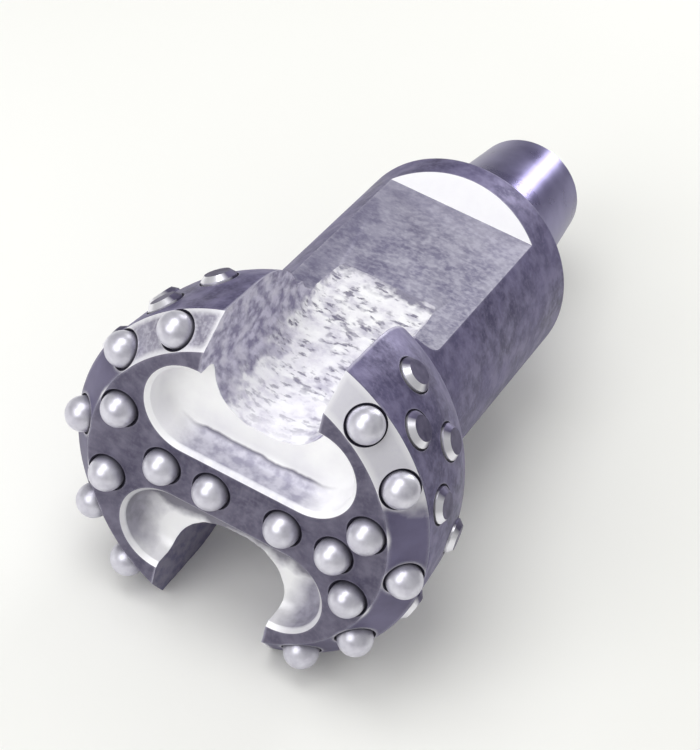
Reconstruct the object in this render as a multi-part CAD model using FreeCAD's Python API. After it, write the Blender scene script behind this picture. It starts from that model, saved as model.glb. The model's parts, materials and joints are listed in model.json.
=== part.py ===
import FreeCAD
import Part
import math
import os

# Cable tool drill bit with pressed-in carbide buttons, lying on its side as it comes to rest.
# Lengths are in millimetres and angles in degrees.
# Every piece is modelled in the bit's own frame and laid down at the end.
# In that frame X runs across the cutting face, Y along the bit from the face to the pin,
# and Z through the two watercourses.

# Head
head_diameter = 203.2
face_bevel = 16.0
flank_taper = 3.0
back_angle = 49.0
head_length = 106.0
edge_radius = 1.2

# Shares of the head's sloping back that the hump's rounding and the neck's fillet take up
hump_share = 0.79
neck_share = 0.16

# Shank, collar and tool-joint pin
shank_diameter = 136.5
across_flats = 101.6
ledge_station = 248.5
ledge_lean = 22.0
collar_length = 26.0
collar_chamfer = 2.0
pin_length = 105.5
pin_base_diameter = 88.9
pin_end_diameter = 69.8
pin_end_chamfer = 2.4
pin_root_radius = 2.5
centre_hole_diameter = 12.0
centre_hole_angle = 60.0

# Run-out of the wrench flats behind the head
flat_behind_head = 11.0
runout_angle = 60.0
runout_radius = 12.0

# Watercourses, a ramped channel down each side of the head
course_width = 66.7
course_mouth_level = 32.5
course_end_station = 155.0
course_mouth_corner = 31.5
course_end_corner = 6.0

# Milled pocket across the mouth of each watercourse
pocket_length = 115.4
pocket_width = 47.2
pocket_centre = 40.7
pocket_depth = 18.0
pocket_floor_radius = 8.0
pocket_lip = 2.4

# Carbide buttons and their sockets
button_diameter = 19.05
button_collar = 1.0
button_foot_chamfer = 1.0
flank_button_rise = 3.2
flank_button_chamfer = 2.7
socket_depth = 12.0
socket_clearance = 0.0
socket_lip = 1.5

# Buttons along the bridge between the pockets, as distances from the bit's axis
bridge_left_inner = 13.0
bridge_left_outer = 42.0
bridge_right_inner = 28.5
bridge_right_outer = 58.0

# Other rows of buttons, as angles from the middle of each lobe
face_ring_inset = 27.1
face_ring_angle = 17.0
bevel_near_angle = 33.0
bevel_far_angle = 55.6
flank_front_station = 31.0
flank_front_near_angle = 20.0
flank_front_far_angle = 44.3
flank_back_lean = 7.0

# How far a cutting shape runs past the metal that it cuts
overrun = 4.0

# Fineness of the surface points that find what the bit rests on
rest_fineness = 0.05

head_radius = head_diameter / 2
shank_radius = shank_diameter / 2
button_radius = button_diameter / 2
socket_radius = button_radius + socket_clearance
half_flats = across_flats / 2
half_course = course_width / 2
shoulder_station = ledge_station + collar_length
pin_end_station = shoulder_station + pin_length
flat_front_station = head_length + flat_behind_head
taper_slope = math.tan(math.radians(flank_taper))
back_slope = math.tan(math.radians(back_angle))
clear_of_head = head_radius + overrun

# How far a button's axis leans from straight outwards towards the face
face_lean = 90
bevel_lean = face_lean / 2

origin = FreeCAD.Vector(0, 0, 0)
bit_axis = FreeCAD.Vector(0, 1, 0)
cross_axis = FreeCAD.Vector(1, 0, 0)
up_axis = FreeCAD.Vector(0, 0, 1)


def rounded_wire(corners):
    """Closed wire through corner points, each given with the radius that rounds it."""
    rounds = []
    for index, (point, radius) in enumerate(corners):
        before = (corners[index - 1][0] - point).normalize()
        after = (corners[(index + 1) % len(corners)][0] - point).normalize()
        half_angle = before.getAngle(after) / 2
        run = radius / math.tan(half_angle)
        inward = (before + after).normalize()
        middle = point + inward * (radius / math.sin(half_angle) - radius)
        rounds.append((point + before * run, middle, point + after * run))
    edges = []
    for index, (start, middle, end) in enumerate(rounds):
        if corners[index][1] > 0:
            edges.append(Part.Arc(start, middle, end).toShape())
        following = rounds[(index + 1) % len(rounds)][0]
        if not end.isEqual(following, FreeCAD.Base.Precision.confusion()):
            edges.append(Part.LineSegment(end, following).toShape())
    return Part.Wire(edges)


def turned(outline):
    """Solid turned about the bit's axis from (radius, station, rounding) corners."""
    corners = [(FreeCAD.Vector(radius, station, 0), rounding) for radius, station, rounding in outline]
    return Part.Face(rounded_wire(corners)).revolve(origin, bit_axis, 360)


def flank_radius(station):
    return head_radius - taper_slope * (station - face_bevel)


def back_end():
    """Station where the flank's and the back's straight lines meet, and the back's length."""
    rise = flank_radius(0) - shank_radius - back_slope * head_length
    station = rise / (taper_slope - back_slope)
    return station, (head_length - station) / math.cos(math.radians(back_angle))


def rounding_radius(reach, bend):
    """Radius that rounds a corner of a given bend, when it starts a given reach from it."""
    return reach / math.tan(math.radians(bend) / 2)


def hump_spot(lean):
    """Radius and station on the hump, where its surface leans by an angle towards the pin."""
    station, back_length = back_end()
    reach = back_length * hump_share
    radius = rounding_radius(reach, back_angle - flank_taper)
    start = math.radians(flank_taper)
    middle_radius = flank_radius(station) + reach * math.sin(start) - radius * math.cos(start)
    middle_station = station - reach * math.cos(start) - radius * math.sin(start)
    turn = math.radians(lean)
    return middle_radius + radius * math.cos(turn), middle_station + radius * math.sin(turn)


def forging():
    """Head, shank, collar and pin turned as one piece, before anything is cut into it."""
    hump_station, back_length = back_end()
    hump_radius = rounding_radius(back_length * hump_share, back_angle - flank_taper)
    neck_radius = rounding_radius(back_length * neck_share, back_angle)
    pin_base_radius = pin_base_diameter / 2
    pin_end_radius = pin_end_diameter / 2
    hole_radius = centre_hole_diameter / 2
    hole_depth = hole_radius / math.tan(math.radians(centre_hole_angle / 2))
    return turned([
        (0, 0, 0),
        (head_radius - face_bevel, 0, edge_radius),
        (head_radius, face_bevel, edge_radius),
        (flank_radius(hump_station), hump_station, hump_radius),
        (shank_radius, head_length, neck_radius),
        (shank_radius, shoulder_station - collar_chamfer, 0),
        (shank_radius - collar_chamfer, shoulder_station, 0),
        (pin_base_radius, shoulder_station, pin_root_radius),
        (pin_end_radius, pin_end_station - pin_end_chamfer, 0),
        (pin_end_radius - pin_end_chamfer, pin_end_station, 0),
        (hole_radius, pin_end_station, 0),
        (0, pin_end_station - hole_depth, 0),
    ])


def flat_cutter():
    """Wrench flat from the leaning ledge under the collar to its curved run-out behind the head."""
    rise = clear_of_head - half_flats
    runout_top_station = flat_front_station - rise / math.tan(math.radians(runout_angle))
    outline = [
        (ledge_station, half_flats, 0),
        (ledge_station + rise * math.tan(math.radians(ledge_lean)), clear_of_head, 0),
        (runout_top_station, clear_of_head, 0),
        (flat_front_station, half_flats, runout_radius),
    ]
    corners = [(FreeCAD.Vector(-clear_of_head, station, level), rounding)
               for station, level, rounding in outline]
    return Part.Face(rounded_wire(corners)).extrude(cross_axis * (2 * clear_of_head))


def course_section(station):
    """U-shaped section of a watercourse, which grows shallower and squarer towards the shank."""
    share = station / course_end_station
    level = course_mouth_level + (half_flats - course_mouth_level) * share
    rounding = course_mouth_corner + (course_end_corner - course_mouth_corner) * share
    return rounded_wire([
        (FreeCAD.Vector(-half_course, station, clear_of_head), 0),
        (FreeCAD.Vector(-half_course, station, level), rounding),
        (FreeCAD.Vector(half_course, station, level), rounding),
        (FreeCAD.Vector(half_course, station, clear_of_head), 0),
    ])


def course_cutter():
    sections = [course_section(-overrun), course_section(course_end_station + overrun)]
    return Part.makeLoft(sections, True, True)


def pocket_wire(station, growth):
    """Round-ended outline of a pocket, grown outwards by an even amount."""
    half_length = pocket_length / 2 + growth
    half_width = pocket_width / 2 + growth
    corners = [(1, 1), (-1, 1), (-1, -1), (1, -1)]
    return rounded_wire([
        (FreeCAD.Vector(across * half_length, station, pocket_centre + up * half_width), half_width)
        for across, up in corners
    ])


def pocket_cutter():
    """Pocket with a rounded floor edge and a bevelled lip."""
    bore = Part.Face(pocket_wire(-overrun, 0)).extrude(bit_axis * (pocket_depth + overrun))
    floor_edges = [edge for edge in bore.Edges if edge.BoundBox.YMin > pocket_depth / 2]
    bore = bore.makeFillet(pocket_floor_radius, floor_edges)
    lip = Part.makeLoft([pocket_wire(-overrun, pocket_lip + overrun), pocket_wire(pocket_lip, 0)], True, True)
    return bore.fuse(lip)


def opposite(shape):
    """The same shape on the other side of the bit."""
    copy = shape.copy()
    copy.rotate(origin, bit_axis, 180)
    return copy


def spun(points):
    """Solid turned about Z from straight-sided (radius, height) points."""
    vertices = [FreeCAD.Vector(radius, 0, height) for radius, height in points]
    return Part.Face(Part.makePolygon(vertices + vertices[:1])).revolve(origin, up_axis, 360)


def domed_button():
    """Button with a hemispherical top, its Z axis outwards and its origin at the steel's surface."""
    shank = spun([
        (0, -socket_depth),
        (button_radius - button_foot_chamfer, -socket_depth),
        (button_radius, button_foot_chamfer - socket_depth),
        (button_radius, button_collar),
        (0, button_collar),
    ])
    dome = Part.makeSphere(button_radius, up_axis * button_collar, up_axis, 0, 90, 360)
    return shank.fuse(dome).removeSplitter()


def flat_button():
    """Button with a bevelled flat top, for the flank."""
    return spun([
        (0, -socket_depth),
        (button_radius - button_foot_chamfer, -socket_depth),
        (button_radius, button_foot_chamfer - socket_depth),
        (button_radius, flank_button_rise - flank_button_chamfer),
        (button_radius - flank_button_chamfer, flank_button_rise),
        (0, flank_button_rise),
    ])


def socket_cutter():
    """Blind hole that a button is pressed into, with a countersunk mouth."""
    return spun([
        (0, -socket_depth),
        (socket_radius, -socket_depth),
        (socket_radius, -socket_lip),
        (socket_radius + socket_lip + overrun, overrun),
        (0, overrun),
    ])


def placed(shape, place):
    """Copy of a shape with its Z axis turned outwards at a button's place."""
    point, outwards = place
    copy = shape.copy()
    copy.Placement = FreeCAD.Placement(point, FreeCAD.Rotation(up_axis, outwards))
    return copy


def lobe_place(side, angle, radius, station, lean):
    """Place on a lobe, its axis leaning from straight outwards towards the face."""
    turn = math.radians(angle)
    radial = FreeCAD.Vector(math.cos(turn), 0, math.sin(turn)) * side
    tip = math.radians(lean)
    return radial * radius + bit_axis * station, radial * math.cos(tip) - bit_axis * math.sin(tip)


def spread_angles(near, far):
    return [-far, -near, 0, near, far]


def face_places():
    bridge = [-bridge_left_outer, -bridge_left_inner, bridge_right_inner, bridge_right_outer]
    places = [(cross_axis * across, -bit_axis) for across in bridge]
    for side in (1, -1):
        for angle in (-face_ring_angle, face_ring_angle):
            places.append(lobe_place(side, angle, head_radius - face_ring_inset, 0, face_lean))
    return places


def bevel_places():
    middle = face_bevel / 2
    return [lobe_place(side, angle, head_radius - middle, middle, bevel_lean)
            for side in (1, -1)
            for angle in spread_angles(bevel_near_angle, bevel_far_angle)]


def flank_places():
    front_angles = [-flank_front_far_angle, -flank_front_near_angle,
                    flank_front_near_angle, flank_front_far_angle]
    back_angles = spread_angles(bevel_near_angle, bevel_far_angle)
    rows = [
        (front_angles, flank_radius(flank_front_station), flank_front_station, -flank_taper),
        (back_angles, *hump_spot(flank_back_lean), -flank_back_lean),
    ]
    return [lobe_place(side, angle, radius, station, lean)
            for side in (1, -1)
            for angles, radius, station, lean in rows
            for angle in angles]


def bit_body(button_places):
    """The steel body with its flats, watercourses, pockets and button sockets."""
    cutters = []
    for cutter in (flat_cutter(), course_cutter(), pocket_cutter()):
        cutters += [cutter, opposite(cutter)]
    cutters += [placed(socket_cutter(), place) for place in button_places]
    body = forging()
    for cutter in cutters:
        body = body.cut(cutter)
    return body.Solids[0]


def resting_tilt(body):
    """Angle by which the pin end sinks until the head and the collar's rim both touch the ground."""
    rim_station = shoulder_station - collar_chamfer
    tilt = 0
    for point in body.tessellate(rest_fineness)[0]:
        if point.y < head_length:
            tilt = max(tilt, math.atan2(-point.z - shank_radius, rim_station - point.y))
    return math.degrees(tilt)


def bit_pieces():
    groups = [
        ("face_button", domed_button(), face_places()),
        ("bevel_button", domed_button(), bevel_places()),
        ("flank_button", flat_button(), flank_places()),
    ]
    every_place = [place for _, _, places in groups for place in places]
    pieces = {"body": bit_body(every_place)}
    for name, button, places in groups:
        for number, place in enumerate(places, start=1):
            pieces[f"{name}_{number}"] = placed(button, place)
    return pieces


def lay_down(pieces):
    """Turns the bit onto its side, with the origin under the middle of its box."""
    tilt = resting_tilt(pieces["body"])
    for shape in pieces.values():
        shape.rotate(origin, cross_axis, -tilt)
    box = Part.makeCompound(list(pieces.values())).optimalBoundingBox(False, False)
    shift = FreeCAD.Vector(-box.Center.x, -box.Center.y, -box.ZMin)
    for shape in pieces.values():
        shape.translate(shift)
    print(f"resting tilt {tilt:.4f} degrees, shift {shift.y:.4f} {shift.z:.4f}")
    print(f"size {box.XLength:.2f} x {box.YLength:.2f} x {box.ZLength:.2f}")


os.makedirs("parts", exist_ok=True)
all_pieces = bit_pieces()
lay_down(all_pieces)
for piece_name, piece in all_pieces.items():
    piece.exportStep(f"parts/{piece_name}.step")
print(len(all_pieces), "pieces")
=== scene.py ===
# %% [markdown]
# # A cable tool drill bit, from turned blank to finished head
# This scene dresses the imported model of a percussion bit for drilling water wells. The real
# bit is one heavy steel forging. Its head carries rows of tungsten carbide buttons, two
# watercourses let the slurry past, and a tapered pin joins it to the drill stem. We repeat the
# workshop's own order: turn a blank, saw the wrench flats, press the watercourses, mill the
# pockets, drill the sockets, and fit the buttons.

# %% Load the frame
import bpy
import functools
import json
import math
from mathutils import Matrix, Vector


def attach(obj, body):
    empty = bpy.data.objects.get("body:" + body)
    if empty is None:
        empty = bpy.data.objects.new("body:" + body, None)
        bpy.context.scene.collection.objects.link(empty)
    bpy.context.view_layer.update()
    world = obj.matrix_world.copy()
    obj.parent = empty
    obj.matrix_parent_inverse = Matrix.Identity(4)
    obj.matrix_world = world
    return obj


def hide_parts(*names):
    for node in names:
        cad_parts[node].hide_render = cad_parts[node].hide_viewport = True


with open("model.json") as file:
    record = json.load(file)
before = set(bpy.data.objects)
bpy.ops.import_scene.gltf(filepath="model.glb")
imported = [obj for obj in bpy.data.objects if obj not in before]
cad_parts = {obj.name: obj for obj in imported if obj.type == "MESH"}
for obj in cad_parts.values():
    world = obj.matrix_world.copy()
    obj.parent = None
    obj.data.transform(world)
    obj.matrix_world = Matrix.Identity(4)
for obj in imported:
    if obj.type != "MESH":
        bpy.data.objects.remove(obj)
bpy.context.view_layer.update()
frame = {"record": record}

# %% [markdown]
# ## The bit's own frame
# A long round part is easiest to model along one of its own axes. Here X runs across the
# cutting face, Y from the face to the pin, and Z through the two watercourses. The finished
# bit lies on its side, so each piece is turned and shifted at the end. The frame's record
# says where the shoulder of the joint is and which way it faces, and that gives the turn.

# %% Find how the bit lies
mm = 0.001
micron = 0.001 * mm
origin = Vector((0, 0, 0))
bit_axis = Vector((0, 1, 0))
shoulder_station = 274.5 * mm

joint = next(mount for mount in frame["record"]["mounts"] if mount["name"] == "tool_joint_pin")
lying_axis = Vector(joint["axis"])
lying_tip = math.atan2(lying_axis.z, lying_axis.y)
lying = (Matrix.Translation(Vector(joint["pos_m"]) - lying_axis * shoulder_station)
         @ Matrix.Rotation(lying_tip, 4, "X"))
print("the bit lies tipped by", round(math.degrees(lying_tip), 3), "degrees")

# %% [markdown]
# ## Helpers for outlines
# Turned and milled shapes start from an outline. A real drawing gives its corners and the
# radius that rounds each one, so the first helper turns such corners into points. The second
# starts from a primitive, shrinks it to one corner, and extrudes an edge to each next point,
# as you would by hand.

# %% Outline helpers
def rounded_points(corners, arc_steps, line_steps=1):
    """Points round an outline of (point, radius) corners. line_steps divides each straight."""
    arcs = []
    for index, (corner, radius) in enumerate(corners):
        if radius == 0:
            arcs.append([corner])
            continue
        before = (corners[index - 1][0] - corner).normalized()
        after = (corners[(index + 1) % len(corners)][0] - corner).normalized()
        half_angle = before.angle(after) / 2
        middle = corner + (before + after).normalized() * (radius / math.sin(half_angle))
        reach = radius / math.tan(half_angle)
        first, last = corner + before * reach - middle, corner + after * reach - middle
        axis = first.cross(last).normalized()
        sweep = first.angle(last)
        arcs.append([middle + Matrix.Rotation(sweep * step / arc_steps, 3, axis) @ first
                     for step in range(arc_steps + 1)])
    points = []
    for arc, following in zip(arcs, arcs[1:] + arcs[:1]):
        points += arc
        points += [arc[-1].lerp(following[0], step / line_steps) for step in range(1, line_steps)]
    return points


def trace(name, points):
    """Starts a mesh at the first point and extrudes an edge to each next one."""
    bpy.ops.object.select_all(action="DESELECT")
    bpy.ops.mesh.primitive_plane_add(size=mm)
    piece = bpy.context.object
    piece.name = name
    bpy.ops.object.mode_set(mode="EDIT")
    bpy.ops.mesh.merge(type="CENTER")
    bpy.ops.transform.translate(value=points[0])
    for start, end in zip(points, points[1:]):
        bpy.ops.mesh.extrude_vertices_move(TRANSFORM_OT_translate={"value": end - start})
    return piece


def close_up():
    """Merges doubles and points the faces outwards, back in object mode."""
    bpy.ops.mesh.select_all(action="SELECT")
    bpy.ops.mesh.remove_doubles(threshold=micron)
    bpy.ops.mesh.normals_make_consistent(inside=False)
    bpy.ops.object.mode_set(mode="OBJECT")


print("outline helpers ready")

# %% [markdown]
# ## Colours and nodes
# Colours are written as sRGB hex values, as a paint chart gives them, while a shader works with
# linear light. One function makes that change. A second adds a node with its settings and
# links and gives back its output, so that each finish below reads as a short recipe. The kinds
# of node and the sums that come up often get short names first. Patterns read Object
# coordinates, turned back into the bit's own frame, so that tool marks run along and round
# the bit.

# %% Colour and node helpers
mix, ramp, bump, bevel = "ShaderNodeMix", "ShaderNodeMapRange", "ShaderNodeBump", "ShaderNodeBevel"
calculate, split, occlusion = "ShaderNodeMath", "ShaderNodeSeparateXYZ", "ShaderNodeAmbientOcclusion"
colours = {"data_type": "RGBA"}
multiplied, multiplied_plus = {"operation": "MULTIPLY"}, {"operation": "MULTIPLY_ADD"}
unsigned, less, larger = {"operation": "ABSOLUTE"}, {"operation": "SUBTRACT"}, {"operation": "MAXIMUM"}


def linear(colour):
    """Linear RGBA of an sRGB hex colour."""
    channels = [int(colour[start:start + 2], 16) / 255 for start in (1, 3, 5)]
    return (*[c / 12.92 if c <= 0.04045 else ((c + 0.055) / 1.055) ** 2.4 for c in channels], 1)


def add_node(finish, kind, settings=None, output=None, **inputs):
    """Adds a node, gives each input a value or another node's output, and returns its output."""
    node = finish.node_tree.nodes.new(kind)
    for name, value in (settings or {}).items():
        setattr(node, name, value)
    for name, value in inputs.items():
        named = {s.name: s for s in reversed(node.inputs) if s.enabled}
        named.update({s.identifier: s for s in node.inputs if s.enabled})
        socket = named.get(name) or named[name.replace("_", " ")]
        if isinstance(value, bpy.types.NodeSocket):
            finish.node_tree.links.new(value, socket)
        else:
            socket.default_value = value
    outputs = [s for s in node.outputs if s.enabled and output in (None, s.name)]
    return outputs[0] if outputs else None


def new_finish(name):
    """An empty finish, a way to add nodes to it, and coordinates in the bit's own frame."""
    finish = bpy.data.materials.new(name)
    finish.use_nodes = True
    finish.node_tree.nodes.clear()
    add = functools.partial(add_node, finish)
    back = lying.inverted()
    place = add("ShaderNodeMapping", Vector=add("ShaderNodeTexCoord", output="Object"),
                Location=back.to_translation(), Rotation=back.to_euler())
    return finish, add, place


def grain(add, place, size, detail=4, stretch=(1, 1, 1), low=0.4, high=0.6):
    """Cloudy pattern from 0 to 1 with marks of about the given size, stretched where asked."""
    scaled = add("ShaderNodeMapping", Vector=place, Scale=stretch)
    noise = add("ShaderNodeTexNoise", Vector=scaled, Scale=1 / size, Detail=detail)
    return add(ramp, Value=noise, From_Min=low, From_Max=high)


def rubbed_edges(add, reach, most):
    """Share that rises on outer edges, where handling and rock rub the surface bright."""
    thickness = add(occlusion, {"inside": True, "samples": 6}, Distance=reach, output="AO")
    return add(ramp, Value=thickness, From_Min=0.95, From_Max=0.55, To_Max=most)


print("colour and node helpers ready")

# %% [markdown]
# ## Finish: heat-treated forged steel
# The head, shank and collar are alloy steel, forged, turned and quenched. Quenching leaves a
# tight dark oxide with a violet cast, finely mottled, and the edges rub through to brighter
# steel. In the neck and between the buttons the colour is darkened as painted shade. Oxide is
# half way between a metal and a mineral, so it is not fully metallic.

# %% Heat-treated forged steel
def forged_steel(name, darker, lighter, flecks):
    finish, add, place = new_finish(name)
    clouds = grain(add, place, 34 * mm, 5, low=0.35, high=0.65)
    blotches = grain(add, place, 9 * mm, 4, low=0.42, high=0.66)
    speckle = grain(add, place, 2.2 * mm, 3, low=0.45, high=0.68)
    oxide = add(mix, colours, Factor=clouds, A=linear(darker), B=linear(lighter))
    oxide = add(mix, colours, Factor=add(ramp, Value=blotches, To_Max=0.6), A=oxide, B=linear(flecks))
    oxide = add(mix, colours, Factor=add(ramp, Value=speckle, To_Max=0.3), A=oxide, B=linear(flecks))
    # painted shade: the colour darkens in the neck and between the buttons, where ambient occlusion
    # finds steel close by
    openness = add(occlusion, {"samples": 6}, Distance=28 * mm, output="AO")
    painted_hollow_shade = add(ramp, Value=openness, From_Min=0.9, From_Max=0.5, To_Max=0.65)
    oxide = add(mix, colours, Factor=painted_hollow_shade, A=oxide, B=linear("#38334f"))
    colour = add(mix, colours, Factor=rubbed_edges(add, 1.6 * mm, 0.7), A=oxide, B=linear("#c6c3d5"))
    scale = grain(add, place, 5 * mm, 3, low=0.2, high=0.8)
    grit = grain(add, place, 1.1 * mm, 2, low=0.2, high=0.8)
    skin = add(bump, Height=scale, Distance=0.12 * mm, Normal=add(bevel, Radius=0.7 * mm))
    skin = add(bump, Height=grit, Distance=0.03 * mm, Normal=skin)
    surface = add("ShaderNodeBsdfPrincipled", Base_Color=colour, Metallic=0.5,
                  Roughness=add(ramp, Value=clouds, To_Min=0.42, To_Max=0.55), Normal=skin)
    add("ShaderNodeOutputMaterial", Surface=surface)
    return finish


forging_finish = forged_steel("heat_treated_forged_steel", "#433d61", "#655f84", "#8983a5")
face_finish = forged_steel("heat_treated_turned_face", "#4d495f", "#646074", "#7f7b8e")
print(forging_finish.name, face_finish.name)

# %% [markdown]
# ## Finish: bevel with painted light
# The bevel is painted pale on both sides of the upper watercourse, as the bit lies, as painted
# light falling from above, and keeps its oxide further round the lobe. The height above the
# bit's axis tells how far round a point is, and the cloudy pattern breaks the border. A painted
# highlight runs along both edges of the bevel. One lobe is painted whiter than the other, as
# painted light.

# %% Bevel with painted light
face_bevel = 16 * mm


def bevel_painted_light():
    finish, add, place = new_finish("bevel_steel_painted_light")
    clouds = grain(add, place, 26 * mm, 5, low=0.35, high=0.65)
    speckle = grain(add, place, 2.0 * mm, 3, low=0.42, high=0.66)
    across, along, height = [add(split, Vector=place, output=axis) for axis in "XYZ"]
    height = add(calculate, multiplied_plus, Value=clouds, Value_001=8 * mm, Value_002=height)
    # painted light: the upper side of the bevel, as the bit lies, is painted pale
    painted_upper_light = add(ramp, Value=height, From_Min=44 * mm, From_Max=52 * mm)
    oxide = add(mix, colours, Factor=clouds, A=linear("#57526e"), B=linear("#6c6785"))
    # the pale colour of the painted light
    painted_lit_colour = add(mix, colours, Factor=clouds, A=linear("#868294"), B=linear("#b0adbe"))
    # painted light: one lobe is painted whiter than the other
    painted_lit_lobe = add(ramp, Value=across, From_Min=-10 * mm, From_Max=10 * mm, To_Max=0.8)
    painted_lit_colour = add(mix, colours, Factor=painted_lit_lobe, A=painted_lit_colour, B=linear("#eeedf4"))
    painted_lit_colour = add(mix, colours, Factor=add(ramp, Value=speckle, To_Max=0.45), A=painted_lit_colour, B=linear("#dcdae5"))
    # painted highlight: a bright line along both edges of the bevel
    off_middle = add(calculate, less, Value=along, Value_001=face_bevel / 2)
    off_middle = add(calculate, unsigned, Value=off_middle)
    painted_edge_highlight = add(ramp, Value=off_middle, From_Min=5.2 * mm, From_Max=7.0 * mm, To_Max=0.8)
    painted_lit_colour = add(mix, colours, Factor=painted_edge_highlight, A=painted_lit_colour, B=linear("#f4f3f8"))
    colour = add(mix, colours, Factor=painted_upper_light, A=oxide, B=painted_lit_colour)
    colour = add(mix, colours, Factor=rubbed_edges(add, 3.0 * mm, 0.9), A=colour, B=linear("#f4f3f8"))
    strokes = grain(add, place, 0.9 * mm, 2, stretch=(1, 0.1, 1), low=0.2, high=0.8)
    skin = add(bump, Height=strokes, Distance=0.03 * mm, Normal=add(bevel, Radius=0.7 * mm))
    surface = add("ShaderNodeBsdfPrincipled", Base_Color=colour, Metallic=0.4,
                  Roughness=add(ramp, Value=painted_upper_light, To_Min=0.5, To_Max=0.38), Normal=skin)
    add("ShaderNodeOutputMaterial", Surface=surface)
    return finish


bevel_finish = bevel_painted_light()
print(bevel_finish.name)

# %% [markdown]
# ## Finish: sawn wrench flats
# The flats are cut after forging and stay paler than the round, with a fine sandy speckle
# from the saw and from light rust that was wiped off. Towards the ledge they are painted
# lighter as a painted sheen, and along one side they are painted darker as painted shade.

# %% Sawn flats
def sawn_steel():
    finish, add, place = new_finish("sawn_steel")
    clouds = grain(add, place, 40 * mm, 4, low=0.35, high=0.65)
    speckle = grain(add, place, 2.6 * mm, 3, stretch=(0.85, 1, 1), low=0.4, high=0.66)
    blotches = grain(add, place, 12 * mm, 5, low=0.4, high=0.62)
    across, along = [add(split, Vector=place, output=axis) for axis in "XY"]
    # painted sheen: the flat is painted lighter towards the ledge
    painted_sheen = add(ramp, Value=along, From_Min=190 * mm, From_Max=245 * mm, To_Max=0.4)
    # painted shade: the flat is painted darker along one side
    shade = add(calculate, multiplied_plus, Value=blotches, Value_001=24 * mm, Value_002=across)
    shade = add(ramp, Value=shade, From_Min=15 * mm, From_Max=-45 * mm, To_Max=0.6)
    blotched, speckled = [add(ramp, Value=pattern, To_Max=most)
                          for pattern, most in ((blotches, 0.7), (speckle, 0.55))]
    colour = add(mix, colours, Factor=clouds, A=linear("#65627d"), B=linear("#7f7c95"))
    colour = add(mix, colours, Factor=blotched, A=colour, B=linear("#a3a1b1"))
    colour = add(mix, colours, Factor=speckled, A=colour, B=linear("#b9b7c6"))
    colour = add(mix, colours, Factor=painted_sheen, A=colour, B=linear("#b8b5c6"))
    colour = add(mix, colours, Factor=shade, A=colour, B=linear("#625e79"))
    colour = add(mix, colours, Factor=rubbed_edges(add, 2.0 * mm, 0.7), A=colour, B=linear("#d6d4e1"))
    strokes = grain(add, place, 1.6 * mm, 2, stretch=(0.12, 1, 1), low=0.2, high=0.8)
    skin = add(bump, Height=strokes, Distance=0.04 * mm, Normal=add(bevel, Radius=0.7 * mm))
    skin = add(bump, Height=speckle, Distance=0.03 * mm, Normal=skin)
    surface = add("ShaderNodeBsdfPrincipled", Base_Color=colour, Metallic=0.4,
                  Roughness=add(ramp, Value=speckle, To_Min=0.54, To_Max=0.44), Normal=skin)
    add("ShaderNodeOutputMaterial", Surface=surface)
    return finish


flat_finish = sawn_steel()
print(flat_finish.name)

# %% [markdown]
# ## Finish: as-pressed watercourse
# The dies leave a coarse, pitted skin. Slurry scours the floor pale, while the walls keep a
# mottled grey scale. The walls come first. The dies drag their scale out along the slope, to
# nearly twice its width. Where a wall turns into the floor it is painted darker as painted
# shade, and the lower channel is painted dark as painted shade.

# %% Watercourse walls
def dragged_scale(add, place, facing):
    """Colour of the walls. facing tells how far the skin turns towards the floor's way."""
    drag_angle, drag_stretch = -0.715, 1.8
    dragged = add("ShaderNodeMapping", {"vector_type": "TEXTURE"}, Vector=place,
                  Rotation=(drag_angle, 0, 0), Scale=(1, drag_stretch, 1))
    fine_scale = grain(add, dragged, 5 * mm, 3, low=0.38, high=0.62)
    bare_patches = add(ramp, Value=grain(add, dragged, 8 * mm, 3, low=0.47, high=0.64), To_Max=0.65)
    # painted shade: darker where the wall turns into the floor
    painted_crease_shade = add(ramp, Value=facing, From_Min=0.6, From_Max=0.85, To_Max=0.4)
    height = add(split, Vector=place, output="Z")
    # painted shade: the lower channel, as the bit lies, is painted dark
    lower = add(ramp, Value=height, From_Min=5 * mm, From_Max=-5 * mm, To_Max=0.75)
    wall = add(mix, colours, Factor=fine_scale, A=linear("#9691ad"), B=linear("#dcd9e9"))
    wall = add(mix, colours, Factor=painted_crease_shade, A=wall, B=linear("#6f6a87"))
    wall = add(mix, colours, Factor=bare_patches, A=wall, B=linear("#efedf6"))
    return add(mix, colours, Factor=lower, A=wall, B=linear("#5a5573"))


print("walls of the watercourse ready")

# %% [markdown]
# The floor is scoured nearly white. Grey smears and short dark pits stay in it, both in the
# same clusters, and fewest at the mouth, where the most slurry passes.

# %% Watercourse floor
def scoured_floor(add, place, along, mottle):
    """Colour of the floor, and the pits in it."""
    clusters = add(calculate, multiplied, Value=grain(add, place, 15 * mm, 3, low=0.38, high=0.54),
                   Value_001=add(ramp, Value=along, From_Min=15 * mm, From_Max=75 * mm, To_Min=0.25))
    smears, pits = [
        add(calculate, multiplied, Value=clusters,
            Value_001=grain(add, place, size, stretch=stretch, low=low, high=high))
        for size, stretch, low, high in ((6 * mm, (0.7, 1, 1), 0.46, 0.66),
                                         (3.4 * mm, (0.6, 1.2, 1), 0.53, 0.62))]
    base = add(mix, colours, Factor=mottle, A=linear("#eae8f0"), B=linear("#fcfcfe"))
    base = add(mix, colours, Factor=add(ramp, Value=smears, To_Max=0.65), A=base, B=linear("#aca8bd"))
    base = add(mix, colours, Factor=add(ramp, Value=pits, To_Max=0.8), A=base, B=linear("#595473"))
    return base, pits


print("floor of the watercourse ready")

# %% [markdown]
# The finish asks which way the skin faces to tell the floor from the walls, and the mottle
# breaks the border. The scouring dies out where the channel runs out on the flat. The coarse
# relief is real geometry, made further down, so the bump here is only pits and grit.

# %% As-pressed watercourse
course_end_station = 155 * mm


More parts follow.
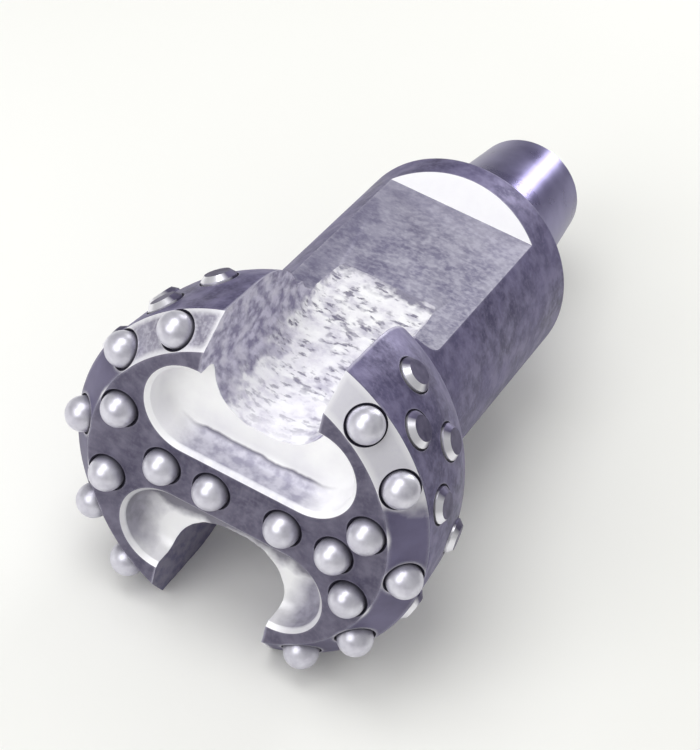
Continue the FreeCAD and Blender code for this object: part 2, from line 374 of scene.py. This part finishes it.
def pressed_steel():
    finish, add, place = new_finish("as_pressed_steel")
    along = add(split, Vector=place, output="Y")
    normal = add("ShaderNodeTexCoord", output="Normal")
    mottle = grain(add, place, 9 * mm, 5, low=0.35, high=0.65)
    facing = add(calculate, unsigned, Value=add(split, Vector=normal, output="Z"))
    facing = add(calculate, multiplied_plus, Value=mottle, Value_001=0.3, Value_002=facing)
    is_floor = add(ramp, Value=facing, From_Min=0.82, From_Max=1.06)
    run_out = add(calculate, multiplied_plus, Value=mottle, Value_001=12 * mm, Value_002=along)
    untouched = add(ramp, Value=run_out, From_Min=153 * mm, From_Max=161 * mm)
    base, pits = scoured_floor(add, place, along, mottle)
    colour = add(mix, colours, Factor=is_floor, A=dragged_scale(add, place, facing), B=base)
    colour = add(mix, colours, Factor=untouched, A=colour, B=linear("#8b889c"))
    grit = grain(add, place, 1.0 * mm, 3, low=0.3, high=0.7)
    skin = add(bump, {"invert": True}, Height=pits, Distance=0.4 * mm)
    skin = add(bump, Height=grit, Distance=0.1 * mm, Normal=skin)
    surface = add("ShaderNodeBsdfPrincipled", Base_Color=colour, Metallic=0.1, Roughness=0.7,
                  Normal=skin)
    add("ShaderNodeOutputMaterial", Surface=surface)
    return finish


course_finish = pressed_steel()
print(course_finish.name)

# %% [markdown]
# ## Finish: milled steel
# The pockets and the ledge under the collar are milled last, after heat treatment, so they
# are bare bright steel, and slurry scours the pockets white. Parts of their walls are painted
# darker as painted shade. How far a point is from the slot's centre line tells a pocket's
# floor from its wall, so that is worked out first.

# %% Distance from a pocket's centre line
pocket_centre, pocket_half_length, pocket_half_width = 40.7 * mm, 57.7 * mm, 23.6 * mm


def spread_from_slot(add, across, upright, clouds):
    """Distance from the slot's centre line, with a border that wavers a little."""
    half_straight = pocket_half_length - pocket_half_width
    past_straight = add(calculate, less, Value=across, Value_001=half_straight)
    past_straight = add(calculate, larger, Value=past_straight, Value_001=0)
    off_centre = add(calculate, less, Value=upright, Value_001=pocket_centre)
    spread = add("ShaderNodeVectorMath", {"operation": "LENGTH"}, output="Value",
                 Vector=add("ShaderNodeCombineXYZ", X=past_straight, Y=0, Z=off_centre))
    return add(calculate, multiplied_plus, Value=clouds, Value_001=-1.5 * mm, Value_002=spread)


print("half of a pocket's straight is", round((pocket_half_length - pocket_half_width) / mm, 1), "mm")

# %% [markdown]
# In the upper pocket, the wall opposite the mouth of the watercourse is painted grey as painted
# shade, with a darker line of painted shade in the corner. In the lower one, a painted shadow
# lies close under the bridge, and painted shade at the ends.

# %% Painted shade in the pockets
def upper_painted_shade(add, across, upright, spread, mottle):
    """Share and colour of the painted shade in the upper pocket."""
    opposite_mouth = add(calculate, multiplied,
                         Value=add(ramp, Value=upright, From_Min=31 * mm, From_Max=28 * mm),
                         Value_001=add(ramp, Value=across, From_Min=46 * mm, From_Max=30 * mm))
    on_wall = add(ramp, Value=spread, From_Min=17.3 * mm, From_Max=18.4 * mm, To_Max=0.9)
    # painted shade: a darker line in the corner between the upper pocket's wall and floor
    corner = add(ramp, Value=spread, From_Min=19.8 * mm, From_Max=18.6 * mm, To_Max=0.85)
    painted_shade = add(mix, colours, Factor=mottle, A=linear("#8e8ba2"), B=linear("#bcbac9"))
    painted_shade = add(mix, colours, Factor=corner, A=painted_shade, B=linear("#4f4a63"))
    return add(calculate, multiplied, Value=opposite_mouth, Value_001=on_wall), painted_shade


def lower_painted_shade(add, sideways, upright, clouds, mottle):
    """Share and colour of the painted shade in the lower pocket."""
    from_bridge, from_middle = [
        add(calculate, multiplied_plus, Value=clouds, Value_001=6 * mm, Value_002=distance)
        for distance in (upright, sideways)]
    # painted shadow close under the bridge, and painted shade at the ends of the lower pocket
    painted_shadow_under_bridge = add(ramp, Value=from_bridge, From_Min=44 * mm, From_Max=37 * mm, To_Max=0.85)
    right_end, left_end = [
        add(ramp, Value=from_middle, From_Min=side * 38 * mm, From_Max=side * 50 * mm, To_Max=most)
        for side, most in ((1, 0.85), (-1, 0.75))]
    at_ends = add(calculate, larger, Value=right_end, Value_001=left_end)
    painted_shade = add(mix, colours, Factor=mottle, A=linear("#716d84"), B=linear("#938fa4"))
    painted_shade = add(mix, colours, Factor=painted_shadow_under_bridge, A=painted_shade, B=linear("#423d55"))
    return add(calculate, larger, Value=painted_shadow_under_bridge, Value_001=at_ends), painted_shade


print("stains ready")

# %% [markdown]
# The cutter's edges leave fine arcs, about 0.8 mm apart. A wave texture makes one ripple in
# every tau / 20 of its units, which gives the scale. Either painted shade is weaker at the
# pocket's rim, and none reaches back to the ledge.

# %% Milled steel
def milled_steel():
    finish, add, place = new_finish("milled_steel")
    clouds = grain(add, place, 14 * mm, 4, low=0.3, high=0.7)
    mottle = grain(add, place, 5 * mm, 4, low=0.38, high=0.62)
    arcs = add("ShaderNodeTexWave", {"wave_type": "RINGS", "rings_direction": "Y"}, Vector=place,
               Scale=math.tau / 20 / (0.8 * mm), Distortion=1.5, Detail=2.0, output="Fac")
    sideways, along, height = [add(split, Vector=place, output=axis) for axis in "XYZ"]
    across, upright = [add(calculate, unsigned, Value=distance) for distance in (sideways, height)]
    spread = spread_from_slot(add, across, upright, clouds)
    upper_share, upper_colour = upper_painted_shade(add, across, upright, spread, mottle)
    lower_share, lower_colour = lower_painted_shade(add, sideways, upright, clouds, mottle)
    lower = add(ramp, Value=height, From_Min=5 * mm, From_Max=-5 * mm)
    behind_rim = add(ramp, Value=along, From_Min=1.6 * mm, From_Max=3 * mm, To_Min=0.45)
    near_face = add(ramp, Value=along, From_Min=40 * mm, From_Max=30 * mm)
    share = add(mix, Factor=lower, A=upper_share, B=lower_share)
    share = add(calculate, multiplied, Value=share, Value_001=behind_rim)
    share = add(calculate, multiplied, Value=share, Value_001=near_face)
    painted_shade = add(mix, colours, Factor=lower, A=upper_colour, B=lower_colour)
    colour = add(mix, colours, Factor=clouds, A=linear("#f5f4f8"), B=linear("#fefeff"))
    # the pockets' painted shade is mixed in here
    colour = add(mix, colours, Factor=share, A=colour, B=painted_shade)
    skin = add(bump, Height=arcs, Distance=0.015 * mm, Normal=add(bevel, Radius=0.6 * mm))
    surface = add("ShaderNodeBsdfPrincipled", Base_Color=colour, Metallic=0.15,
                  Roughness=add(ramp, Value=clouds, To_Min=0.36, To_Max=0.46), Normal=skin)
    add("ShaderNodeOutputMaterial", Surface=surface)
    return finish


milled_finish = milled_steel()
print(milled_finish.name)

# %% [markdown]
# ## Finish: turned steel of the joint
# The pin is turned to a close fit and keeps the lathe's fine rings round the bit's axis.
# They draw the light into one clear band along the cone.

# %% Turned steel
def turned_steel():
    finish, add, place = new_finish("turned_steel")
    clouds = grain(add, place, 30 * mm, 4, low=0.35, high=0.65)
    rings = add("ShaderNodeTexWave", {"wave_type": "BANDS", "bands_direction": "Y"}, Vector=place,
                Scale=math.tau / 20 / (0.6 * mm), Distortion=0.6, Detail=1.0, output="Fac")
    colour = add(mix, colours, Factor=clouds, A=linear("#5d577f"), B=linear("#7e799f"))
    colour = add(mix, colours, Factor=rubbed_edges(add, 1.6 * mm, 0.7), A=colour, B=linear("#c4c1d2"))
    skin = add(bump, Height=rings, Distance=0.01 * mm, Normal=add(bevel, Radius=0.7 * mm))
    surface = add("ShaderNodeBsdfPrincipled", Base_Color=colour, Metallic=0.85,
                  Roughness=add(ramp, Value=clouds, To_Min=0.26, To_Max=0.34), Normal=skin)
    add("ShaderNodeOutputMaterial", Surface=surface)
    return finish


turned_finish = turned_steel()
print(turned_finish.name)

# %% [markdown]
# ## Finish: carbide, and the burnt rim round it
# Carbide is pressed, sintered and ground to a smooth silver-grey, harder and brighter than the
# steel. Rock keeps the domes clean. Round their feet, where an ambient occlusion node finds the
# steel close by, the colour is darkened as painted shade. On the flank buttons the side that
# faces the cutting face carries a painted highlight and the rest a painted shade, so the finish
# asks which way the skin faces. The countersunk rim of each socket holds dirt and press-fit
# grease, which is why each button shows a dark ring.

# %% Carbide and socket rims
def sintered_carbide():
    finish, add, place = new_finish("ground_tungsten_carbide")
    clouds = grain(add, place, 6 * mm, 4, low=0.3, high=0.7)
    fine = grain(add, place, 0.7 * mm, 2, low=0.2, high=0.8)
    # painted shade: the colour darkens round the foot of each button, where ambient occlusion finds
    # steel close by
    openness = add(occlusion, {"samples": 6}, Distance=7 * mm, output="AO")
    painted_foot_shade = add(ramp, Value=openness, From_Min=0.95, From_Max=0.45, To_Max=0.8)
    colour = add(mix, colours, Factor=clouds, A=linear("#c4c2cf"), B=linear("#e0dfe9"))
    colour = add(mix, colours, Factor=painted_foot_shade, A=colour, B=linear("#57526b"))
    surface = add("ShaderNodeBsdfPrincipled", Base_Color=colour, Metallic=0.65,
                  Roughness=add(ramp, Value=clouds, To_Min=0.33, To_Max=0.4),
                  Normal=add(bump, Height=fine, Distance=0.005 * mm))
    add("ShaderNodeOutputMaterial", Surface=surface)
    return finish


def flank_carbide_painted_light():
    finish, add, place = new_finish("flank_tungsten_carbide_painted_light")
    clouds = grain(add, place, 5 * mm, 4, low=0.3, high=0.7)
    normal = add("ShaderNodeTexCoord", output="Normal")
    # painted highlight on the side that faces the cutting face, and painted shade on the rest
    painted_lit_side = add(split, Vector=normal, output="Y")
    painted_lit_side = add(ramp, Value=painted_lit_side, From_Min=-0.05, From_Max=-0.35)
    painted_shaded_side = add(mix, colours, Factor=clouds, A=linear("#4d4862"), B=linear("#6b6680"))
    surface = add("ShaderNodeBsdfPrincipled", Metallic=0.8,
                  Base_Color=add(mix, colours, Factor=painted_lit_side, A=painted_shaded_side, B=linear("#eeedf4")),
                  Roughness=add(ramp, Value=painted_lit_side, To_Min=0.5, To_Max=0.3),
                  Normal=add(bump, Height=clouds, Distance=0.02 * mm))
    add("ShaderNodeOutputMaterial", Surface=surface)
    return finish


def burnt_rim():
    finish, add, place = new_finish("burnt_socket_rim")
    grime = grain(add, place, 2.5 * mm, 3, low=0.3, high=0.7)
    surface = add("ShaderNodeBsdfPrincipled", Metallic=0.2,
                  Base_Color=add(mix, colours, Factor=grime, A=linear("#191626"), B=linear("#2e2a3d")),
                  Roughness=add(ramp, Value=grime, To_Min=0.6, To_Max=0.8),
                  Normal=add(bump, Height=grime, Distance=0.1 * mm))
    add("ShaderNodeOutputMaterial", Surface=surface)
    return finish


carbide_finish, flank_finish, rim_finish = sintered_carbide(), flank_carbide_painted_light(), burnt_rim()
print(carbide_finish.name, flank_finish.name, rim_finish.name)

# %% [markdown]
# ## The turned blank
# On the lathe the whole bit is one profile: face, bevel, slightly tapered flank, rounded hump
# down to the shank, collar, and tapered pin with its centre hole. Spinning that profile once
# round the axis is the quickest way to the same shape, and it keeps every rounding exact. The
# hump and the fillet at the neck share the sloping back between them.

# %% Turn the blank
head_radius = 101.6 * mm
shank_radius = 68.25 * mm
half_flats = 50.8 * mm
ledge_station = 248.5 * mm
pin_end_station = shoulder_station + 105.5 * mm
head_length = 106 * mm
flank_taper, back_angle = math.radians(3), math.radians(49)
spin_steps = 256


def flank_radius(station):
    return head_radius - math.tan(flank_taper) * (station - face_bevel)


back_rise = flank_radius(0) - shank_radius - math.tan(back_angle) * head_length
hump_station = back_rise / (math.tan(flank_taper) - math.tan(back_angle))
back_length = (head_length - hump_station) / math.cos(back_angle)
hump_reach, neck_reach = 0.79 * back_length, 0.16 * back_length
hump_radius = hump_reach / math.tan((back_angle - flank_taper) / 2)
neck_radius = neck_reach / math.tan(back_angle / 2)


def turned_blank():
    collar_chamfer, pin_chamfer = 2.0 * mm, 2.4 * mm
    pin_base_radius, pin_end_radius, hole_radius = 44.45 * mm, 34.9 * mm, 6 * mm
    rim_rounding, root_rounding, hole_half_angle = 1.2 * mm, 2.5 * mm, math.radians(30)
    profile = [
        (0, 0, 0),
        (head_radius - face_bevel, 0, rim_rounding),
        (head_radius, face_bevel, rim_rounding),
        (flank_radius(hump_station), hump_station, hump_radius),
        (shank_radius, head_length, neck_radius),
        (shank_radius, shoulder_station - collar_chamfer, 0),
        (shank_radius - collar_chamfer, shoulder_station, 0),
        (pin_base_radius, shoulder_station, root_rounding),
        (pin_end_radius, pin_end_station - pin_chamfer, 0),
        (pin_end_radius - pin_chamfer, pin_end_station, 0),
        (hole_radius, pin_end_station, 0),
        (0, pin_end_station - hole_radius / math.tan(hole_half_angle), 0),
    ]
    corners = [(Vector((radius, station, 0)), rounding) for radius, station, rounding in profile]
    blank = trace("bit_body", rounded_points(corners, arc_steps=14))
    bpy.ops.mesh.select_all(action="SELECT")
    bpy.ops.mesh.spin(steps=spin_steps, angle=2 * math.pi, center=origin, axis=bit_axis)
    close_up()
    return blank


body = turned_blank()
print("blank", len(body.data.polygons), "faces, hump radius", round(hump_radius / mm, 1), "mm")

# %% [markdown]
# The blank carries four finishes. The joint from the shoulder on is turned bright, the face
# is greyer than the round, the bevel carries painted light, and the rest is as it came from
# the quench. Each face of the blank takes its finish from its place along the bit.

# %% Finish the blank
def give_finishes(piece, finishes, choose=None):
    """Puts finishes in the piece's slots, and picks one by number for each face."""
    piece.data.materials.clear()
    for finish in finishes:
        piece.data.materials.append(finish)
    for face in piece.data.polygons:
        face.material_index = choose(face) if choose else 0


def blank_finish(face):
    """0 on the round, 1 on the joint, 2 on the face, 3 on the bevel."""
    slack = 0.1 * mm
    if face.center.y > shoulder_station - slack:
        return 1
    if face.center.y < slack:
        return 2
    return 3 if face.center.y < face_bevel - 3 * slack else 0


give_finishes(body, [forging_finish, turned_finish, face_finish, bevel_finish], blank_finish)
slots_used = [face.material_index for face in body.data.polygons]
print("faces of each finish", [slots_used.count(slot) for slot in range(4)])

# %% [markdown]
# ## Cutting tools
# Every later operation takes metal away, so each tool is modelled as a solid and subtracted
# from the blank. A Boolean modifier can hand its tool's finish to the faces that it cuts, which
# is just what a real tool does. These helpers run a tool, copy it to the other side, and skin
# a new one over a few closed loops of edges.

# %% Cutting helpers
overrun = 4 * mm
clear_of_head = head_radius + overrun


def only(*pieces):
    """Selects just these pieces and makes the first one active."""
    bpy.ops.object.select_all(action="DESELECT")
    for piece in pieces:
        piece.select_set(True)
    bpy.context.view_layer.objects.active = pieces[0]


def opposite(piece):
    """A copy of the piece on the other side of the bit."""
    only(piece)
    bpy.ops.object.duplicate()
    twin = bpy.context.object
    twin.matrix_world = Matrix.Rotation(math.pi, 4, bit_axis)
    bpy.ops.object.transform_apply(location=True, rotation=True, scale=True)
    return twin


def cut(piece, tool):
    """Takes the tool's solid away from the piece, leaving the tool's finish on the cut."""
    only(piece)
    bpy.ops.object.modifier_add(type="BOOLEAN")
    modifier = piece.modifiers[-1]
    modifier.operation, modifier.solver, modifier.material_mode = "DIFFERENCE", "EXACT", "TRANSFER"
    modifier.object = tool
    bpy.ops.object.modifier_apply(modifier=modifier.name)
    bpy.data.objects.remove(tool)


def cut_both_sides(piece, tool):
    """Cuts with the tool, and then with a copy of it on the other side."""
    twin = opposite(tool)
    cut(piece, tool)
    cut(piece, twin)


def ring(name, points):
    """A closed loop of edges through the points."""
    loop = trace(name, points)
    bpy.ops.mesh.select_all(action="SELECT")
    bpy.ops.mesh.edge_face_add()
    bpy.ops.mesh.delete(type="ONLY_FACE")
    bpy.ops.object.mode_set(mode="OBJECT")
    return loop


def skinned(name, loops, cuts=0):
    """Closed solid through loops of as many points each, with extra rows of faces between."""
    only(*loops)
    bpy.ops.object.join()
    solid = bpy.context.object
    solid.name = name
    bpy.ops.object.mode_set(mode="EDIT")
    bpy.ops.mesh.select_all(action="SELECT")
    bpy.ops.mesh.bridge_edge_loops(number_cuts=cuts, interpolation="LINEAR")
    bpy.ops.mesh.select_all(action="SELECT")
    bpy.ops.mesh.fill_holes(sides=0)
    close_up()
    return solid


print("tools clear the head by", round(overrun / mm, 1), "mm")

# %% [markdown]
# ## Wrench flats
# Two flats, 101.6 mm apart, take the tool wrench. Each one stops at a leaning ledge under the
# collar and runs out in a curve behind the head. The ledge is milled bright, the flat is not.

# %% Saw the wrench flats
def flat_tool():
    front_station, runout_radius = 117 * mm, 12 * mm
    ledge_lean, runout_slope = math.radians(22), math.radians(60)
    rise = clear_of_head - half_flats
    outline = [
        (ledge_station, half_flats, 0),
        (ledge_station + rise * math.tan(ledge_lean), clear_of_head, 0),
        (front_station - rise / math.tan(runout_slope), clear_of_head, 0),
        (front_station, half_flats, runout_radius),
    ]
    corners = [(Vector((-clear_of_head, station, level)), rounding)
               for station, level, rounding in outline]
    tool = trace("flat_tool", rounded_points(corners, arc_steps=10))
    bpy.ops.mesh.select_all(action="SELECT")
    bpy.ops.mesh.edge_face_add()
    bpy.ops.mesh.extrude_region_move(TRANSFORM_OT_translate={"value": (2 * clear_of_head, 0, 0)})
    close_up()
    give_finishes(tool, [flat_finish, milled_finish], lambda face: int(face.normal.y > 0.5))
    return tool


cut_both_sides(body, flat_tool())
print("after the flats", len(body.data.polygons), "faces")

# %% [markdown]
# ## Watercourses
# Hot dies press a channel down each side of the head, deep at the face and running out on the
# flat. Its section is a U whose corners are wide at the mouth and tight at the end. The die
# is worn and scaled, so its own surface is rough: we roughen the tool, and the rough skin then
# prints itself into the bit, edges and all.

# %% Shape the watercourse die
half_course, mouth_level = 33.35 * mm, 32.5 * mm
mouth_corner, end_corner = 31.5 * mm, 6 * mm


def course_section(station):
    share = station / course_end_station
    level = mouth_level + (half_flats - mouth_level) * share
    rounding = mouth_corner + (end_corner - mouth_corner) * share
    corners = [
        (Vector((-half_course, station, clear_of_head)), 0),
        (Vector((-half_course, station, level)), rounding),
        (Vector((half_course, station, level)), rounding),
        (Vector((half_course, station, clear_of_head)), 0),
    ]
    return rounded_points(corners, arc_steps=30, line_steps=30)


die_ends = [ring(name, course_section(station))
            for name, station in (("mouth", -overrun), ("end", course_end_station + overrun))]
die = skinned("watercourse_die", die_ends, cuts=140)
print("die", len(die.data.polygons), "faces")

# %% [markdown]
# Two Displace modifiers push the die's skin in and out along its normals: one for broad
# hammered waves of 9 mm, one for pits of 3 mm. A vertex group fades both out towards the end of
# the channel, where the metal is hardly touched, and calms them on the upright walls.

# %% Roughen the die and press both watercourses
def roughen(piece, name, size, depth, group):
    """Pushes the skin in and out by a cloudy pattern of a real size and depth."""
    pattern = bpy.data.textures.new(name, "CLOUDS")
    pattern.noise_scale, pattern.noise_depth = size, 2
    only(piece)
    bpy.ops.object.modifier_add(type="DISPLACE")
    modifier = piece.modifiers[-1]
    modifier.texture, modifier.texture_coords = pattern, "LOCAL"
    modifier.strength, modifier.mid_level, modifier.vertex_group = depth, 0.5, group
    bpy.ops.object.modifier_apply(modifier=modifier.name)


def roughened(piece):
    """Wears the die's skin, except along its straight top edges, which never touch the bit."""
    fade_length, least_share, wall_share, steep = 30 * mm, 0.12, 0.45, 0.8
    top_edge = clear_of_head - 0.1 * mm
    group = piece.vertex_groups.new(name="worked")
    for vertex in piece.data.vertices:
        share = max(least_share, min(1, (course_end_station - vertex.co.y) / fade_length))
        if abs(vertex.normal.x) > steep:
            share *= wall_share
        if abs(vertex.co.z) < top_edge:
            group.add([vertex.index], share, "REPLACE")
    roughen(piece, "hammered waves", 9 * mm, 1.1 * mm, group.name)
    roughen(piece, "pits", 3 * mm, 0.8 * mm, group.name)
    return piece


give_finishes(die, [course_finish])
twin = roughened(opposite(die))
cut(body, roughened(die))
cut(body, twin)
print("after the watercourses", len(body.data.polygons), "faces")

# %% [markdown]
# ## Pockets
# A round-nosed cutter mills a slot with round ends across the mouth of each watercourse. It
# gathers chips, and its rim is bevelled. The tool is a stack of outlines: the flared rim,
# then the straight wall, whose last edge is rounded with an edit-mode bevel.

# %% Mill the pockets
def pocket_outline(station, growth):
    half_length, half_width = pocket_half_length + growth, pocket_half_width + growth
    corners = [(Vector((across * half_length, station, pocket_centre + up * half_width)), half_width)
               for across, up in ((1, 1), (-1, 1), (-1, -1), (1, -1))]
    return rounded_points(corners, arc_steps=16)


def pocket_tool():
    depth, floor_radius, lip = 18 * mm, 8 * mm, 2.4 * mm
    tool = skinned("pocket_tool", [ring("flare", pocket_outline(-overrun, lip + overrun)),
                                   ring("rim", pocket_outline(lip, 0))])
    bpy.ops.object.mode_set(mode="EDIT")
    bpy.ops.mesh.select_all(action="DESELECT")
    bpy.ops.object.mode_set(mode="OBJECT")
    floor = max(tool.data.polygons, key=lambda face: face.center.y)
    floor.select = True
    bpy.ops.object.mode_set(mode="EDIT")
    bpy.ops.mesh.extrude_region_move(TRANSFORM_OT_translate={"value": (0, depth - lip, 0)})
    bpy.ops.mesh.bevel(offset=floor_radius, segments=8, profile=0.5)
    close_up()
    give_finishes(tool, [milled_finish])
    return tool


cut_both_sides(body, pocket_tool())
print("after the pockets", len(body.data.polygons), "faces")

# %% [markdown]
# ## Where the buttons go
# The buttons stand in rows: four along the bridge between the pockets, two more on each lobe,
# five on each lobe's bevel, and two rows of flat ones that guard the flank. A place is a point
# on the steel and the direction that the button faces. Angles count from the lobe's middle.

# %% Places of the buttons
def lobe_place(side, angle, radius, station, lean):
    """Place at an angle from the lobe's middle, facing outwards and leaning to the face."""
    turn, tip = math.radians(angle), math.radians(lean)
    radial = Vector((math.cos(turn), 0, math.sin(turn))) * side
    return radial * radius + bit_axis * station, radial * math.cos(tip) - bit_axis * math.sin(tip)


def hump_spot(lean):
    """Radius and station on the hump, where its skin leans by an angle towards the pin."""
    middle_radius = (flank_radius(hump_station) + hump_reach * math.sin(flank_taper)
                     - hump_radius * math.cos(flank_taper))
    middle_station = (hump_station - hump_reach * math.cos(flank_taper)
                      - hump_radius * math.sin(flank_taper))
    return middle_radius + hump_radius * math.cos(lean), middle_station + hump_radius * math.sin(lean)


bridge_offsets = [-42 * mm, -13 * mm, 28.5 * mm, 58 * mm]
ring_radius, ring_angles, bevel_angles = 74.5 * mm, [-17, 17], [-55.6, -33, 0, 33, 55.6]
front_angles, front_station, front_lean, back_lean = [-44.3, -20, 20, 44.3], 31 * mm, -3, -7
front_row = (front_angles, flank_radius(front_station), front_station, front_lean)
back_row = (bevel_angles, *hump_spot(math.radians(-back_lean)), back_lean)
sides = (1, -1)
places = {
    "face_button": [(Vector((offset, 0, 0)), -bit_axis) for offset in bridge_offsets]
    + [lobe_place(side, angle, ring_radius, 0, 90) for side in sides for angle in ring_angles],
    "bevel_button": [lobe_place(side, angle, head_radius - face_bevel / 2, face_bevel / 2, 45)
                     for side in sides for angle in bevel_angles],
    "flank_button": [lobe_place(side, angle, radius, station, lean) for side in sides
                     for angles, radius, station, lean in (front_row, back_row) for angle in angles],
}
print({group: len(spots) for group, spots in places.items()})

# %% [markdown]
# ## Sockets
# Each button is pressed into a drilled hole with a countersunk mouth. The drill is modelled
# once, copied to every place, and all the copies are joined, so one Boolean makes all of them.

# %% Drill the sockets
button_radius, socket_depth, socket_lip = 9.525 * mm, 12 * mm, 1.5 * mm
up_axis = Vector((0, 0, 1))


def spun(name, profile, steps=48):
    """Solid turned about Z from a profile that starts and ends on the axis."""
    piece = trace(name, [Vector((radius, 0, height)) for radius, height in profile])
    bpy.ops.mesh.select_all(action="SELECT")
    bpy.ops.mesh.spin(steps=steps, angle=2 * math.pi, center=origin, axis=up_axis)
    close_up()
    return piece


def copies_at(piece, spots):
    """A copy at each place, with its Z axis turned outwards, and each with its own mesh."""
    made = []
    for point, outwards in spots:
        only(piece)
        bpy.ops.object.duplicate()
        copy = bpy.context.object
        turn = up_axis.rotation_difference(outwards).to_matrix().to_4x4()
        copy.matrix_world = Matrix.Translation(point) @ turn
        bpy.ops.object.transform_apply(location=True, rotation=True, scale=True)
        made.append(copy)
    return made


drill = spun("drill", [(0, -socket_depth), (button_radius, -socket_depth),
                       (button_radius, -socket_lip), (button_radius + socket_lip, 0),
                       (button_radius + socket_lip, overrun), (0, overrun)])
give_finishes(drill, [rim_finish])
drills = copies_at(drill, [place for group in places.values() for place in group])
only(*drills)
bpy.ops.object.join()
cut(body, bpy.context.object)
bpy.data.objects.remove(drill)
print("after the sockets", len(body.data.polygons), "faces")

# %% [markdown]
# The Booleans leave a few hundred slivers where cuts meet, thinner than two microns. They do
# nothing for the shape and can upset its shading, so one clean-up dissolves them.

# %% Clean the slivers away
only(body)
bpy.ops.object.mode_set(mode="EDIT")
bpy.ops.mesh.select_all(action="SELECT")
bpy.ops.mesh.dissolve_degenerate(threshold=2 * micron)
bpy.ops.object.mode_set(mode="OBJECT")
print("after the clean-up", len(body.data.polygons), "faces")

# %% [markdown]
# ## Lay the body down
# The finished forging is shaded smooth where its faces meet gently and sharp elsewhere. It is
# then turned onto its side, and the turn is applied, so that its place is in its mesh.

# %% Lay the body down and hand it to the frame
smooth_angle = math.radians(28)


def lay_down(piece, name, node):
    only(piece)
    piece.matrix_world = lying
    bpy.ops.object.transform_apply(location=True, rotation=True, scale=True)
    piece.name = piece.data.name = name
    bpy.ops.object.shade_smooth_by_angle(angle=smooth_angle)
    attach(piece, "root")
    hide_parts(node)


lay_down(body, "forged_body", "body")
triangles = sum(len(face.vertices) - 2 for face in body.data.polygons)
print("body", len(body.data.polygons), "faces,", triangles, "triangles")

# %% [markdown]
# ## Buttons
# A face or bevel button is a short cylinder with a hemispherical top that stands out of the
# steel. A flank button ends in a low bevelled flat that keeps the hole to gauge. Both keep
# the small chamfer that leads them into their socket.

# %% Model and fit the buttons
foot_chamfer, dome_base, dome_steps = 1 * mm, 1 * mm, 14
flat_base, flat_bevel, flat_height = 0.5 * mm, 2.7 * mm, 3.2 * mm
foot = [(0, -socket_depth), (button_radius - foot_chamfer, -socket_depth),
        (button_radius, foot_chamfer - socket_depth)]
dome_angles = [math.radians(90 * step / dome_steps) for step in range(dome_steps)]
dome = [(button_radius * math.cos(angle), dome_base + button_radius * math.sin(angle))
        for angle in dome_angles] + [(0, dome_base + button_radius)]
flat_top = [(button_radius, flat_base), (button_radius - flat_bevel, flat_height), (0, flat_height)]
patterns = {"face_button": foot + dome, "bevel_button": foot + dome, "flank_button": foot + flat_top}

for group, profile in patterns.items():
    pattern = spun(group, profile)
    give_finishes(pattern, [flank_finish if group == "flank_button" else carbide_finish])
    for number, button in enumerate(copies_at(pattern, places[group]), start=1):
        lay_down(button, f"carbide_{group}_{number}", f"{group}_{number}")
    bpy.data.objects.remove(pattern)
    print(group, "done")

# %% [markdown]
# ## Floor, light and camera
# The bit lies on a plain pale floor. One soft lamp hangs overhead and a very large one stands
# at the left in front, which gives each button one broad highlight. Two weaker ones stand
# behind: the higher draws a sheen along the top, the lower one a bright band along the pin. A
# pale world does the rest.

# %% Floor
def floor_finish():
    finish, add, place = new_finish("pale_studio_floor")
    cloud = grain(add, place, 400 * mm, 3, low=0.2, high=0.8)
    colour = add(mix, colours, Factor=cloud, A=linear("#f8f8f4"), B=linear("#fbfbf8"))
    surface = add("ShaderNodeBsdfPrincipled", Base_Color=colour, Roughness=0.9)
    add("ShaderNodeOutputMaterial", Surface=surface)
    return finish


bpy.ops.object.select_all(action="DESELECT")
floor_size = 12
bpy.ops.mesh.primitive_plane_add(size=floor_size)
floor = bpy.context.object
floor.name = "floor"
floor.data.materials.append(floor_finish())
print("floor ready")

# %% Lamps and world
lit_point = Vector((0, -0.05, 0.09))


def area_lamp(name, place, size, power):
    bpy.ops.object.light_add(type="AREA", location=place)
    lamp = bpy.context.object
    lamp.name = name
    lamp.data.shape, lamp.data.size, lamp.data.energy = "DISK", size, power
    lamp.rotation_euler = (lit_point - Vector(place)).to_track_quat("-Z", "Y").to_euler()


area_lamp("overhead", (-0.35, -0.3, 1.6), size=1.1, power=10)
area_lamp("key", (-0.55, -1.4, 1.15), size=1.3, power=12)
area_lamp("back", (-0.1, 1.35, 1.25), size=0.9, power=4)
area_lamp("low_back", (0.17, 1.6, 0.5), size=0.4, power=6)

world = bpy.data.worlds.new("studio")
bpy.context.scene.world = world
world.use_nodes = True
background = world.node_tree.nodes["Background"]
background.inputs["Color"].default_value = linear("#f4f4f2")
background.inputs["Strength"].default_value = 0.45

# %% [markdown]
# The camera looks down along the face with a long lens. Its place and its three angles are
# given in the bit's own frame, and it is laid down together with the bit. A camera at rest
# looks down, so the turn starts from level.

# %% Camera
camera_place = Vector((288.2, -777.5, 728.6)) * mm
turned_left, looking_down, tipped = 0.317, 0.668, 0.265
aim = (Matrix.Rotation(turned_left, 4, "Z") @ Matrix.Rotation(math.pi / 2 - looking_down, 4, "X")
       @ Matrix.Rotation(tipped, 4, "Z"))
bpy.ops.object.camera_add()
camera = bpy.context.object
camera.name = "camera"
camera.matrix_world = lying @ Matrix.Translation(camera_place) @ aim
camera.data.lens, camera.data.sensor_width = 105.6, 36
camera.data.shift_x, camera.data.shift_y = 0.0337, 0.0416
bpy.context.scene.camera = camera
bpy.context.scene.view_settings.view_transform = "Standard"
print("camera", [round(c, 5) for row in camera.matrix_world for c in row])
